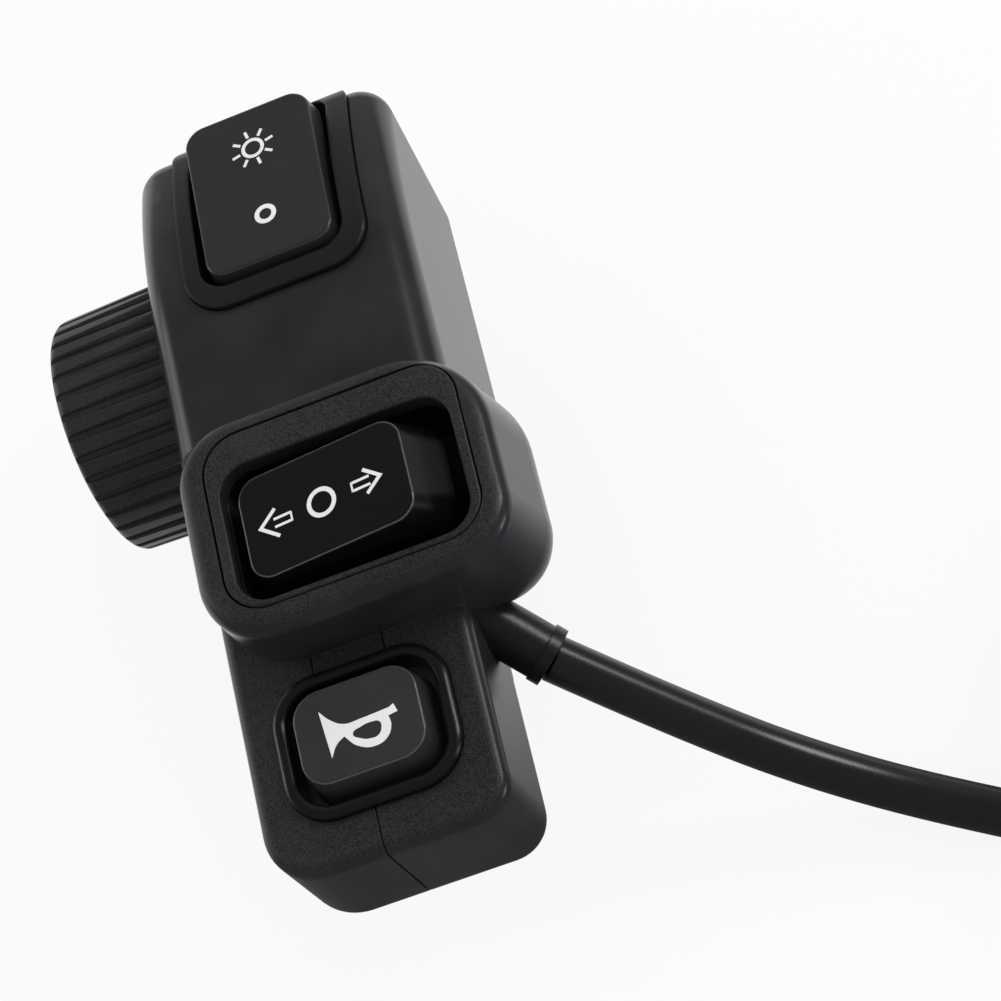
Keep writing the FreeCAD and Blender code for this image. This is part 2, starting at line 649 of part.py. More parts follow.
head_rocker = cap_top.fuse([stem, nose]).cut(pin_hole).removeSplitter()
save("headlight_rocker", head_place(head_rocker, head_rock))

base_low, base_high = -head_well, -head_well + base_t
ear_x = stem_half + touch
pin_end = ear_x + ear_t
ear_top = -head_pin_depth + head_pin_d / 2 + head_ear_over
head_base = prism(-head_open_w + fit, head_open_w - fit, -head_open_l + fit, head_open_l - fit,
                  base_low, base_high, head_cap_corner + head_gap)
head_base = head_base.fuse([block(x, x + ear_t, -ear_half, ear_half, base_high - lap, ear_top)
                            for x in (-pin_end, ear_x)])
head_base = head_base.cut(rod(head_pin_d, V(-reach / 2, 0, -head_pin_depth), X, reach)).removeSplitter()
save("headlight_base", head_place(head_base))
save("headlight_pin", head_place(rod(head_pin_d, V(-pin_end, 0, -head_pin_depth), X, 2 * pin_end)))
leaf = slab(tent(head_leaf_half, base_high, nose_tip - touch), X, -leaf_w / 2, leaf_w / 2)
save("headlight_detent", head_place(leaf))
cx, cy, half = head_contact
contacts = [block(x - half, x + half, y - half, y + half, base_high, base_high + strip_t)
            for x in (-cx, cx) for y in (-cy, cy)]
save("headlight_contacts", head_place(Part.makeCompound(contacts)))

# Turn switch, its rocker latched to the left
insert = prism(rim_left, rim_right, rim_bottom, rim_top, turn_front - rim_t, turn_front, rim_corner).cut(
    prism(*turn_open, turn_front - rim_t - 1, turn_front + 1, turn_open_corner))
insert = insert.makeFillet(rim_edge_r, edges_at(insert, lambda m, e: near(m.z, turn_front)))
save("turn_bezel", insert)
face_z = turn_front + turn_cap_rise
foot_z = face_z - turn_cap_foot
turn_top_cap = pyramid(turn_cap, foot_z, turn_foot_corner, turn_face, face_z, turn_cap_corner)
turn_top_cap = turn_top_cap.makeFillet(face_edge_r, edges_at(turn_top_cap, lambda m, e: near(m.z, face_z)))
pivot_x = (turn_cap[0] + turn_cap[1]) / 2
mid_y = (turn_cap[2] + turn_cap[3]) / 2
boss_r = turn_pin_d / 2 + boss_wall
stem_y0, stem_y1 = mid_y - turn_stem_half, mid_y + turn_stem_half
turn_stem = block(pivot_x - boss_r, pivot_x + boss_r, stem_y0, stem_y1, turn_pin_z, foot_z + stem_lap).fuse(
    rod(2 * boss_r, V(pivot_x, stem_y0, turn_pin_z), Y, stem_y1 - stem_y0))
nose_tip = turn_pin_z - boss_r - nose_h
nose_view = [(-nose_half, turn_pin_z), (0, nose_tip), (nose_half, turn_pin_z)]
turn_nose = slab(moved(nose_view, pivot_x), Y, mid_y - nose_len / 2, mid_y + nose_len / 2)
turn_rocker = turn_top_cap.fuse([turn_stem, turn_nose]).cut(
    rod(turn_pin_d + 2 * fit, V(pivot_x, -reach / 2, turn_pin_z), Y, reach)).removeSplitter()
turn_rocker.rotate(V(pivot_x, 0, turn_pin_z), Y, -turn_rock)
save("turn_rocker", turn_rocker)

base_z = turn_floor + base_t
x0, x1, y0, y1 = turn_room
turn_base = prism(x0 + fit, x1 - fit, y0 + fit, y1 - fit, turn_floor, base_z, turn_hollow_r - fit)
turn_base = turn_base.cut([sleeve_bore] + channels)
ear_y = turn_stem_half + touch
pin_end = ear_y + ear_t
ear_top = turn_pin_z + turn_pin_d / 2 + turn_ear_over
turn_base = turn_base.fuse([block(pivot_x - ear_half, pivot_x + ear_half, y, y + ear_t, base_z - lap, ear_top)
                            for y in (mid_y - pin_end, mid_y + ear_y)])
turn_base = turn_base.cut(rod(turn_pin_d, V(pivot_x, -reach / 2, turn_pin_z), Y, reach)).removeSplitter()
save("turn_base", turn_base)
save("turn_pin", rod(turn_pin_d, V(pivot_x, mid_y - pin_end, turn_pin_z), Y, 2 * pin_end))
leaf = moved(tent(turn_leaf_half, base_z, nose_tip - touch), pivot_x)
save("turn_detent", slab(leaf, Y, mid_y - leaf_w / 2, mid_y + leaf_w / 2))
cx, half_x, half_y = turn_contact
contacts = [block(x - half_x, x + half_x, mid_y - half_y, mid_y + half_y, base_z, base_z + strip_t)
            for x in (pivot_x - cx, pivot_x + cx)]
save("turn_contacts", Part.makeCompound(contacts))

# Horn button
ring = prism(ring_x0, ring_x1, ring_y0, ring_y1, horn_front + ring_rise - ring_depth, horn_front + ring_rise,
             ring_corner).cut(
    prism(ring_x0 + ring_w, ring_x1 - ring_w, ring_y0 + ring_w, ring_y1 - ring_w,
          horn_front - ring_depth, horn_front + ring_depth, ring_corner - ring_w))
ring = ring.makeFillet(ring_edge_r, edges_at(ring, lambda m, e: near(m.z, horn_front + ring_rise)))
save("horn_ring", ring)
hx0, hx1, hy0, hy1 = horn_cap
horn_x, horn_y = (hx0 + hx1) / 2, (hy0 + hy1) / 2
horn_face = horn_front + horn_cap_rise
d = horn_cap_draft
button = pyramid(horn_cap, flange_z - horn_flange_t, horn_cap_corner,
                 (hx0 + d, hx1 - d, hy0 + d, hy1 - d), horn_face, horn_cap_corner - horn_cap_taper)
button = button.makeFillet(horn_edge_r, edges_at(button, lambda m, e: near(m.z, horn_face)))
flange = prism(ring_x0 + ring_w - horn_flange, ring_x1 - ring_w + horn_flange, ring_y0 + ring_w - horn_flange,
               ring_y1 - ring_w + horn_flange, flange_z - horn_flange_t, flange_z, ring_corner - ring_w)
horn_base_z = horn_cover_z + horn_base_t
stem_low = horn_base_z + contact_t + horn_travel + contact_rest + contact_t
stem = rod(horn_stem_d, V(horn_x, horn_y, stem_low), Z, flange_z - stem_low)
button = button.fuse([flange, stem]).removeSplitter()
save("horn_button", button)
save("horn_contact", rod(horn_stem_d + 2 * contact_rim, V(horn_x, horn_y, stem_low - contact_t), Z, contact_t))
base_box = (horn_low_box[0] + g, horn_low_box[1] - g, horn_low_box[2] + g, horn_low_box[3] - g)
horn_base = prism(*base_box, horn_cover_z, horn_base_z, hollow_r - g)
horn_base = horn_base.cut([rod(post_d + 2 * post_gap, V(x, y, 0), Z, reach) for x, y in horn_holes])
save("horn_base", horn_base)
save("horn_terminals", Part.makeCompound([
    block(horn_x + x0, horn_x + x1, horn_y - terminal_half, horn_y + terminal_half,
          horn_base_z, horn_base_z + contact_t)
    for x0, x1 in ((-terminal_x1, -terminal_x0), (terminal_x0, terminal_x1))]))
spring_r = horn_spring_d / 2
spring_low = horn_base_z + horn_spring_wire / 2
spring_high = flange_z - horn_flange_t - horn_spring_wire / 2
arcs, p0, p1, t0, t1 = helix_arcs(V(horn_x, horn_y, spring_low), spring_r, X, horn_spring_turns,
                                  (spring_high - spring_low) / horn_spring_turns)
save("horn_spring", tube(arcs, horn_spring_wire))

# Dial: a ribbed cup over the rotary switch that is fixed to the left wall
dial_r = dial_d / 2
dial_x1 = col_left - dial_gap
dial_x0 = dial_x1 - dial_len
centre = V(0, dial_y, dial_z)


def ring_point(x, r, angle):
    return V(x, dial_y + r * math.cos(angle), dial_z + r * math.sin(angle))


root_r = dial_r - dial_rib_h
step = 2 * math.pi / dial_ribs
rib_half = step * dial_rib_share / 2
edges = []
for k in range(dial_ribs):
    t = k * step
    a0, a1 = [ring_point(dial_x0, root_r, t + s * rib_half) for s in (-1, 1)]
    edges.append(Part.Arc(a0, ring_point(dial_x0, dial_r, t), a1).toShape())
    edges.append(Part.makeLine(a1, ring_point(dial_x0, root_r, t + step - rib_half)))
ribbed = Part.Face(Part.Wire(edges)).extrude(V(dial_len, 0, 0))
end_r = dial_r - dial_taper
bulge = dial_round * (1 - math.sqrt(0.5))
turned = [V(dial_x0, 0, 0), V(dial_x0, end_r - dial_round, 0), V(dial_x0 + bulge, end_r - bulge, 0),
          V(dial_x0 + dial_round, end_r, 0), V(dial_x1, dial_r + 0.01, 0), V(dial_x1, 0, 0)]
outer = Part.Wire([Part.makeLine(turned[0], turned[1]), Part.Arc(*turned[1:4]).toShape(),
                   Part.makeLine(turned[3], turned[4]), Part.makeLine(turned[4], turned[5]),
                   Part.makeLine(turned[5], turned[0])])
envelope = Part.Face(outer).revolve(V(0, 0, 0), X, 360)
envelope.translate(centre)
dial = ribbed.common(envelope)
dial = dial.cut(rod(2 * (root_r - dial_wall), V(dial_x0 + dial_wall, dial_y, dial_z), X, dial_len))
hub_end = col_left - dial_body_l - touch
hub_x0 = dial_x0 + dial_wall - lap
dial = dial.fuse(rod(dial_shaft_d + 2 * dial_hub_wall, V(hub_x0, dial_y, dial_z), X, hub_end - hub_x0))
dial = dial.cut(rod(dial_shaft_d, V(dial_x0 + dial_wall - 1, dial_y, dial_z), X, dial_len)).removeSplitter()
save("dial", dial)
shaft_x0 = dial_x0 + dial_wall - 1
shaft_floor = col_left - dial_floor
save("dial_shaft", rod(dial_shaft_d, V(shaft_x0, dial_y, dial_z), X, shaft_floor - touch - shaft_x0))
save("dial_switch", rod(dial_body_d, V(col_left - dial_body_l, dial_y, dial_z), X, dial_body_l).fuse(
    rod(spigot_d, V(col_left - lap, dial_y, dial_z), X, lap + wall + nut_t + touch)).cut(
    rod(dial_shaft_d + 2 * fit, V(col_left - dial_body_l - 1, dial_y, dial_z), X,
        dial_body_l + 1 - dial_floor)).removeSplitter())
nut_corners = [ring_point(col_left + wall, nut_r, math.radians(60 * k + 30)) for k in range(7)]
nut = Part.Face(Part.makePolygon(nut_corners))
save("dial_nut", nut.extrude(X * nut_t).cut(rod(spigot_d, V(col_left, dial_y, dial_z), X, reach)))

# Cable, its sleeve, the coil that is put away, and the plug
sleeve = between(sleeve_d, inner_end, cable_start).fuse(
    between(sleeve_ring_d, cable_start - sleeve_axis * sleeve_ring_l, cable_start))
sleeve = sleeve.cut([between(cable_d + 2 * fit, inner_end - sleeve_axis, cable_start + sleeve_axis), housing])
sleeve = max(sleeve.Solids, key=lambda s: s.Volume)
save("cable_sleeve", sleeve)

lie_z = floor_z + cable_d / 2
last_seen = V(*cable_down, lie_z)
coil_in = last_seen + heading * coil_away
free_run = tube(rounded_path([cable_start, *cable_bends, last_seen, coil_in - heading * cable_d]), cable_d)
entry = between(cable_d, sleeve_start - sleeve_axis * entry_in, cable_start).cut(free_run)
save("cable_run", free_run)
save("cable_entry", max(entry.Solids, key=lambda s: s.Volume))
side = V(-heading.y, heading.x, 0)
coil_centre = coil_in + side * coil_r
coil_arcs, p0, p1, t0, t1 = helix_arcs(coil_centre, coil_r, heading, coil_turns, coil_pitch)
lead_in = Part.makeLine(p0 - t0 * cable_d, p0)
lead_out = Part.makeLine(p1, p1 + t1 * cable_d)
save("cable_coil", tube([lead_in] + coil_arcs + [lead_out], cable_d))
samples = []
for e in coil_arcs:
    n = 24
    samples += [e.valueAt(e.FirstParameter + (e.LastParameter - e.FirstParameter) * k / n) for k in range(n)]
gap = min((samples[i] - samples[j]).Length for i in range(len(samples))
          for j in range(i + len(samples) // 9 * 2, len(samples))) - cable_d
print("coil gap to itself %.2f" % gap)

tail_start = p1 + t1 * cable_d
plug_z = floor_z + plug_h / 2
first = V(t1.x, t1.y, 0).normalize()


def turned(angle):
    c, s = math.cos(math.radians(angle)), math.sin(math.radians(angle))
    return V(first.x * c - first.y * s, first.x * s + first.y * c, 0)


level = turned(2 * tail_turn)
tail = [tail_start, tail_start + t1 * tail_runs[0]]
tail.append(tail[1] + turned(tail_turn) * tail_runs[1])
tail[2].z = plug_z
tail.append(tail[2] + level * tail_runs[2])
save("cable_tail", tube(rounded_path(tail), cable_d))


def plug_place(shape):
    """Carry a shape whose length runs along X to the cable's end."""
    s = shape.copy()
    s.rotate(V(0, 0, 0), Z, math.degrees(math.atan2(level.y, level.x)))
    s.translate(tail[-1])
    return s


w, h = plug_w / 2, plug_h / 2
plug_x1 = plug_boot_l + plug_l
socket_x = plug_x1 - socket_depth
plug_body = block(plug_boot_l, plug_x1, -w, w, -h, h)
long_edges = edges_at(plug_body, lambda m, e: near(m.x, plug_boot_l + plug_l / 2))
plug_body = plug_body.makeFillet(plug_edge_r, long_edges)
inner_w, inner_h = w - plug_wall, h - plug_wall
plug_body = plug_body.cut(block(socket_x, plug_x1 + 1, -inner_w, inner_w, -inner_h, inner_h))
latch_x0 = plug_boot_l + latch_x
latch = block(latch_x0, latch_x0 + latch_l, -latch_w / 2, latch_w / 2, h - lap, h + latch_h)
save("plug_body", plug_place(plug_body.fuse(latch).removeSplitter()))
boot = Part.makeCone(cable_d / 2 + boot_wall, h - boot_step, plug_boot_l, V(0, 0, 0), X)
save("plug_boot", plug_place(boot))
pins = [rod(pin_d, V(socket_x, y, z), X, pin_l) for y in pin_columns for z in pin_rows]
save("plug_pins", plug_place(Part.makeCompound(pins)))
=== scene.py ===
import bpy
from math import atan2, cos, hypot, pi, radians, sin
from mathutils import Matrix, Vector


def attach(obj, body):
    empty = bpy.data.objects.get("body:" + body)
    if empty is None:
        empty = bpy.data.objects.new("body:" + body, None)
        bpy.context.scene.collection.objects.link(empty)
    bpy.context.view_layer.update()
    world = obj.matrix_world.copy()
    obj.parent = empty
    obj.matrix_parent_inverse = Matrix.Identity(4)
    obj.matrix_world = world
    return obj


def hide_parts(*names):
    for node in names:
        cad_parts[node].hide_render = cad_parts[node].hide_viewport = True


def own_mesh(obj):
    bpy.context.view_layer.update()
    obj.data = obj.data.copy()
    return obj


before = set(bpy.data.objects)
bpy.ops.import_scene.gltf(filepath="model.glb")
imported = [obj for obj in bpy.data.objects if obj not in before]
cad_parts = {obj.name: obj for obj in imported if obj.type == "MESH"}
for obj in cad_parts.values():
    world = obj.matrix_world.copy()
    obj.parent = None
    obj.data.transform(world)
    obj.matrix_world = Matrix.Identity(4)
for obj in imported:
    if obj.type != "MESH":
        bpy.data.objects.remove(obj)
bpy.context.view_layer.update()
mm = 0.001
floor_z, cable_d = -14.3, 5.4       # millimetres, as in the solids


# Shared making steps

def deselect():
    if bpy.context.object and bpy.context.object.mode != "OBJECT":
        bpy.ops.object.mode_set(mode="OBJECT")
    bpy.ops.object.select_all(action="DESELECT")


def choose(*things):
    """Select these objects alone, the first one active."""
    deselect()
    for thing in things:
        thing.select_set(True)
    bpy.context.view_layer.objects.active = things[0]


def settle(thing):
    """Put the object's place into its mesh."""
    choose(thing)
    bpy.ops.object.transform_apply(location=True, rotation=True, scale=True)


def add_object(name, data):
    thing = bpy.data.objects.new(name, data)
    bpy.context.scene.collection.objects.link(thing)
    return thing


def finish_piece(thing, name, body, finish):
    thing.name = thing.data.name = name
    thing.data.materials.clear()
    thing.data.materials.append(finish)
    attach(thing, body)
    return thing


# Camera, at the photograph's angle

camera_at = (0.08517, -0.16822, 0.31682)
right = Vector((0.92183, -0.21691, -0.32134))
up = Vector((0.33888, 0.85348, 0.39600))
back = Vector((0.1883, -0.4739, 0.8602))
camera_data = bpy.data.cameras.new("camera")
camera_data.sensor_width = 36
camera_data.lens = 113.92
camera_data.clip_start, camera_data.clip_end = 0.01, 20
camera = add_object("camera", camera_data)
camera.matrix_world = Matrix.Translation(camera_at) @ Matrix((right, up, back)).transposed().to_4x4()
bpy.context.scene.camera = camera


# Shader node groups

FLOAT, VECTOR = "NodeSocketFloat", "NodeSocketVector"


def new_group(name, inputs, outputs):
    """A node group whose inputs are all numbers, with their usual values."""
    group = bpy.data.node_groups.new(name, "ShaderNodeTree")
    for label, value in inputs:
        group.interface.new_socket(name=label, in_out="INPUT", socket_type=FLOAT).default_value = value
    for label, kind in outputs:
        group.interface.new_socket(name=label, in_out="OUTPUT", socket_type=kind)
    return group, group.nodes.new("NodeGroupInput").outputs, group.nodes.new("NodeGroupOutput").inputs


def feed(tree, socket, value):
    """Give a socket a number or a wire."""
    if isinstance(value, (int, float)):
        socket.default_value = value
    else:
        tree.links.new(value, socket)


def maths_in(tree):
    """A short way to add math nodes to one tree."""
    def do(operation, a, b, clamp=False):
        node = tree.nodes.new("ShaderNodeMath")
        node.operation, node.use_clamp = operation, clamp
        feed(tree, node.inputs[0], a)
        feed(tree, node.inputs[1], b)
        return node.outputs[0]
    return do


def noise_node(tree, vector, scale, detail, rough=0.5):
    node = tree.nodes.new("ShaderNodeTexNoise")
    tree.links.new(vector, node.inputs["Vector"])
    for label, value in (("Scale", scale), ("Detail", detail), ("Roughness", rough)):
        feed(tree, node.inputs[label], value)
    return node.outputs["Fac"]


def ramp(tree, value, low, high):
    """A soft step: nothing below low, all of it above high."""
    node = tree.nodes.new("ShaderNodeMapRange")
    node.interpolation_type = "SMOOTHSTEP"
    node.inputs["From Min"].default_value, node.inputs["From Max"].default_value = low, high
    tree.links.new(value, node.inputs["Value"])
    return node.outputs["Result"]


def coordinates(tree, kind="Object"):
    return tree.nodes.new("ShaderNodeTexCoord").outputs[kind]


def part_of(tree, vector, axis):
    """A vector's share along one axis."""
    split = tree.nodes.new("ShaderNodeSeparateXYZ")
    tree.links.new(vector, split.inputs[0])
    return split.outputs[axis]


def facing(tree):
    """How much a surface faces the rider."""
    return part_of(tree, tree.nodes.new("ShaderNodeNewGeometry").outputs["Normal"], "Z")


def build_grain():
    """Spark-eroded moulding grain on the faces towards the rider, up to a line across the housing."""
    group, given, out = new_group(
        "moulding grain",
        [("Grain", 4200.0), ("Pits", 0.5), ("Contrast", 2.0), ("Walls", 1.0), ("Ends at", 1.0)],
        [("Height", FLOAT), ("Tone", FLOAT), ("Face", FLOAT)])
    pit_scale, cloud_scale = 0.8, 120.0
    line_sharpness = 1500.0                 # the grain fades out over 0.7 mm beyond the line
    wall_slope, face_slope = 0.72, 0.95     # a wall below the first, a face above the second
    do = maths_in(group)
    place = coordinates(group)
    fine = noise_node(group, place, given["Grain"], 1.0)
    cells = group.nodes.new("ShaderNodeTexVoronoi")
    group.links.new(place, cells.inputs["Vector"])
    group.links.new(do("MULTIPLY", given["Grain"], pit_scale), cells.inputs["Scale"])
    pits = do("MULTIPLY", cells.outputs["Distance"], given["Pits"])
    cloud = do("SUBTRACT", noise_node(group, place, cloud_scale, 2.0), 0.5)
    past_line = do("SUBTRACT", part_of(group, place, "Y"), given["Ends at"])
    beyond = do("MULTIPLY", past_line, line_sharpness, clamp=True)
    face = do("MULTIPLY", ramp(group, facing(group), wall_slope, face_slope), do("SUBTRACT", 1.0, beyond))
    here = do("MAXIMUM", given["Walls"], face)
    # Colour speckle on the grained faces: the grain's own tone, and where Contrast is high, painted glints as
    # well
    speckle = do("MULTIPLY", do("MULTIPLY", do("SUBTRACT", fine, 0.5), given["Contrast"]), here)
    group.links.new(face, out["Face"])
    group.links.new(do("MULTIPLY", do("ADD", fine, pits), here), out["Height"])
    group.links.new(do("ADD", do("ADD", speckle, cloud), 0.5, clamp=True), out["Tone"])
    return group


def build_edge_wear_and_glint():
    """Softened edges, and a mask of worn edges and painted glints: every edge a little, and a painted glint
    band on a cap's rim when Rim is on.
    """
    group, given, out = new_group(
        "edge wear and glint", [("Radius", 0.0003), ("Rim", 0.0)], [("Wear and glint", FLOAT), ("Normal", VECTOR)])
    patch_scale, edge_gain = 900.0, 4.0
    rim_begins, rim_ends = (0.50, 0.66), (0.78, 0.90)     # slopes of a cap's rounded rim
    do = maths_in(group)
    bevel = group.nodes.new("ShaderNodeBevel")
    bevel.samples = 4
    group.links.new(given["Radius"], bevel.inputs["Radius"])
    flat = group.nodes.new("ShaderNodeNewGeometry")
    dot = group.nodes.new("ShaderNodeVectorMath")
    dot.operation = "DOT_PRODUCT"
    group.links.new(bevel.outputs["Normal"], dot.inputs[0])
    group.links.new(flat.outputs["Normal"], dot.inputs[1])
    turn = do("SUBTRACT", 1.0, dot.outputs["Value"])
    patchy = noise_node(group, coordinates(group), patch_scale, 3.0, 0.6)
    # Worn edges; where a finish gives a light edge colour, this also paints a glint along the edges
    edges = do("MULTIPLY", do("MULTIPLY", turn, edge_gain), patchy, clamp=True)
    slope = facing(group)
    # Painted glint: a band over the slopes of a cap's rounded rim, lighter whatever the light
    rounding = do("SUBTRACT", ramp(group, slope, *rim_begins), ramp(group, slope, *rim_ends))
    group.links.new(do("ADD", edges, do("MULTIPLY", rounding, given["Rim"]), clamp=True), out["Wear and glint"])
    group.links.new(bevel.outputs["Normal"], out["Normal"])
    return group


grain_group, wear_glint_group = build_grain(), build_edge_wear_and_glint()
refraction = 1.46


class Finish:
    """One material and the wires in it."""

    def __init__(self, name, roughness, metallic=0.0, coat=0.0, coat_rough=0.1):
        self.material = bpy.data.materials.new(name)
        self.material.use_nodes = True
        self.tree = self.material.node_tree
        self.shader = self.tree.nodes["Principled BSDF"]
        for label, value in (("Roughness", roughness), ("Metallic", metallic), ("Coat Weight", coat),
                             ("Coat Roughness", coat_rough), ("IOR", refraction)):
            self.shader.inputs[label].default_value = value

    def place(self, group, **values):
        node = self.tree.nodes.new("ShaderNodeGroup")
        node.node_tree = group
        for label, value in values.items():
            node.inputs[label.replace("_", " ")].default_value = value
        return node.outputs

    def mix(self, amount, low, high):
        """A colour or a value that goes from low to high."""
        node = self.tree.nodes.new("ShaderNodeMix")
        colour = isinstance(low, tuple) or getattr(low, "type", "") == "RGBA"
        node.data_type = "RGBA" if colour else "FLOAT"
        first, second = (6, 7) if colour else (2, 3)
        self.tree.links.new(amount, node.inputs[0])
        for socket, value in ((node.inputs[first], low), (node.inputs[second], high)):
            if isinstance(value, bpy.types.NodeSocket):
                self.tree.links.new(value, socket)
            else:
                socket.default_value = (*value, 1.0) if colour else value
        return node.outputs[2 if colour else 0]

    def bump(self, height, strength, distance, normal):
        node = self.tree.nodes.new("ShaderNodeBump")
        node.inputs["Strength"].default_value = strength
        node.inputs["Distance"].default_value = distance
        self.tree.links.new(height, node.inputs["Height"])
        self.tree.links.new(normal, node.inputs["Normal"])
        self.wire("Normal", node.outputs["Normal"])

    def wire(self, label, socket):
        self.tree.links.new(socket, self.shader.inputs[label])


def moulded(name, dark, light, rough, spread, grain, pits, strength, depth=0.00003, edge=0.00025,
            wear_glint_colour=None, contrast=2.0, walls=1.0, ends=1.0, wall_rough=None, rim_glint=0.0, **shader):
    """Moulded plastic: grained, a little uneven in tone and gloss, glossier where hands rub its edges; the
    lighter edge colour is wear, and on the caps a painted glint along edges and rims.
    """
    polished = 0.7
    # Edge colour: wear on most finishes; the light edge colours given to the caps are painted glints
    wear_glint_tone = wear_glint_colour or tuple(1.5 * c + 0.01 for c in light)
    f = Finish(name, rough, **shader)
    moulding = f.place(grain_group, Grain=grain, Pits=pits, Contrast=contrast, Walls=walls, Ends_at=ends)
    wear_glint = f.place(wear_glint_group, Radius=edge, Rim=rim_glint)
    tone = f.mix(moulding["Tone"], dark, light)
    f.wire("Base Color", f.mix(wear_glint["Wear and glint"], tone, wear_glint_tone))
    even = f.mix(moulding["Tone"], rough - spread, rough + spread)
    if wall_rough is not None:
        even = f.mix(moulding["Face"], wall_rough, even)
    f.wire("Roughness", f.mix(wear_glint["Wear and glint"], even, rough * polished))
    f.bump(moulding["Height"], strength, depth, wear_glint["Normal"])
    return f


def metal(name, dark, light, rough):
    """Turned or stamped metal with fine tool marks and a thin tarnish."""
    brushed, mark_scale, mark_strength, mark_depth = (1, 1, 12), 900.0, 0.1, 0.00002
    smoother, rougher, edge = 0.08, 0.12, 0.00015
    bright = tuple(min(1.0, c * 1.15) for c in light)
    f = Finish(name, rough, metallic=1.0)
    stretch = f.tree.nodes.new("ShaderNodeMapping")
    stretch.inputs["Scale"].default_value = brushed
    f.tree.links.new(coordinates(f.tree), stretch.inputs["Vector"])
    marks = noise_node(f.tree, stretch.outputs["Vector"], mark_scale, 4.0, 0.6)
    tarnish = f.place(grain_group, Grain=700.0, Pits=0.2)
    wear_glint = f.place(wear_glint_group, Radius=edge)
    f.wire("Base Color", f.mix(wear_glint["Wear and glint"], f.mix(tarnish["Tone"], dark, light), bright))
    f.wire("Roughness", f.mix(marks, rough - smoother, rough + rougher))
    f.bump(marks, mark_strength, mark_depth, wear_glint["Normal"])
    return f


# Finishes: dark and light tone, roughness and its spread, then the grain, and the edge colour of wear and
# painted glints.
# "ends" is the line across the housing where its grain stops, in metres

black = (0.008, 0.0075, 0.0092)
# The housing's and insert's high speckle contrast is partly the grain's own tone and partly painted glints on
# the grained faces
housing_black = moulded("housing black", black, (0.030, 0.028, 0.0335), 0.42, 0.05, grain=7400.0, pits=0.2,
                        strength=1.0, depth=0.00006, edge=0.00012, contrast=4.5, walls=0.0, ends=0.0115,
                        wall_rough=0.25)
insert_black = moulded("insert black", black, (0.031, 0.029, 0.0345), 0.45, 0.05, grain=7200.0, pits=0.2,
                       strength=1.0, depth=0.00007, edge=0.00008, contrast=5.5, walls=0.2)
bezel_black = moulded("bezel black", (0.005, 0.005, 0.0055), (0.010, 0.010, 0.011), 0.36, 0.04, grain=6000.0,
                      pits=0.3, strength=0.2, edge=0.0006, contrast=1.5)
ring_black = moulded("ring black", (0.0025, 0.0025, 0.003), (0.004, 0.004, 0.0046), 0.22, 0.03, grain=5200.0,
                     pits=0.2, strength=0.05, edge=0.0005, contrast=1.2, coat=0.3, coat_rough=0.15)
# Rocker, turn rocker and horn button: their light edge colour and rim band are painted glints along the edges
# and rims
rocker_grey = moulded("rocker grey", (0.018, 0.018, 0.0185), (0.024, 0.024, 0.025), 0.34, 0.04, grain=6000.0,
                      pits=0.2, strength=0.12, edge=0.00018, contrast=1.2, wear_glint_colour=(0.05, 0.05, 0.05), rim_glint=0.5)
turn_black = moulded("turn rocker black", (0.0025, 0.0025, 0.003), (0.004, 0.004, 0.0048), 0.20, 0.02,
                     grain=6000.0, pits=0.1, strength=0.05, edge=0.00015, contrast=1.2,
                     wear_glint_colour=(0.11, 0.11, 0.115), rim_glint=0.8)
button_black = moulded("button black", (0.024, 0.0235, 0.0265), (0.036, 0.035, 0.039), 0.30, 0.03, grain=6000.0,
                       pits=0.2, strength=0.1, edge=0.00015, contrast=1.2, wear_glint_colour=(0.10, 0.10, 0.105), rim_glint=0.8)
dial_black = moulded("dial black", (0.012, 0.012, 0.0125), (0.032, 0.032, 0.034), 0.40, 0.05, grain=5000.0,
                     pits=0.4, strength=0.3, edge=0.00012)
inner_black = moulded("inner black", (0.018, 0.018, 0.019), (0.032, 0.032, 0.034), 0.55, 0.06, grain=2400.0,
                      pits=0.5, strength=0.3)
cable_black = moulded("cable black", (0.010, 0.010, 0.0115), (0.014, 0.014, 0.016), 0.25, 0.02, grain=2600.0,
                      pits=0.1, strength=0.05, contrast=0.8)
sleeve_black = moulded("sleeve black", (0.006, 0.006, 0.0065), (0.011, 0.011, 0.012), 0.33, 0.05, grain=3200.0,
                       pits=0.3, strength=0.15)
plug_nylon = moulded("plug nylon", (0.55, 0.53, 0.46), (0.66, 0.64, 0.57), 0.45, 0.05, grain=1800.0,
                     pits=0.4, strength=0.15, wear_glint_colour=(0.72, 0.70, 0.64))
mark_white = moulded("mark white", (0.80, 0.81, 0.83), (0.90, 0.90, 0.91), 0.42, 0.04, grain=5200.0,
                     pits=0.2, strength=0.08, edge=0.00004, wear_glint_colour=(0.93, 0.93, 0.93))
board_green = moulded("board green", (0.010, 0.065, 0.025), (0.018, 0.095, 0.038), 0.35, 0.05, grain=1400.0,
                      pits=0.2, strength=0.1, wear_glint_colour=(0.25, 0.22, 0.12))
steel = metal("screw steel", (0.30, 0.30, 0.31), (0.52, 0.52, 0.53), 0.34)
dark_steel = metal("dark steel", (0.055, 0.055, 0.058), (0.10, 0.10, 0.105), 0.42)
brass = metal("insert brass", (0.42, 0.29, 0.11), (0.66, 0.48, 0.21), 0.33)

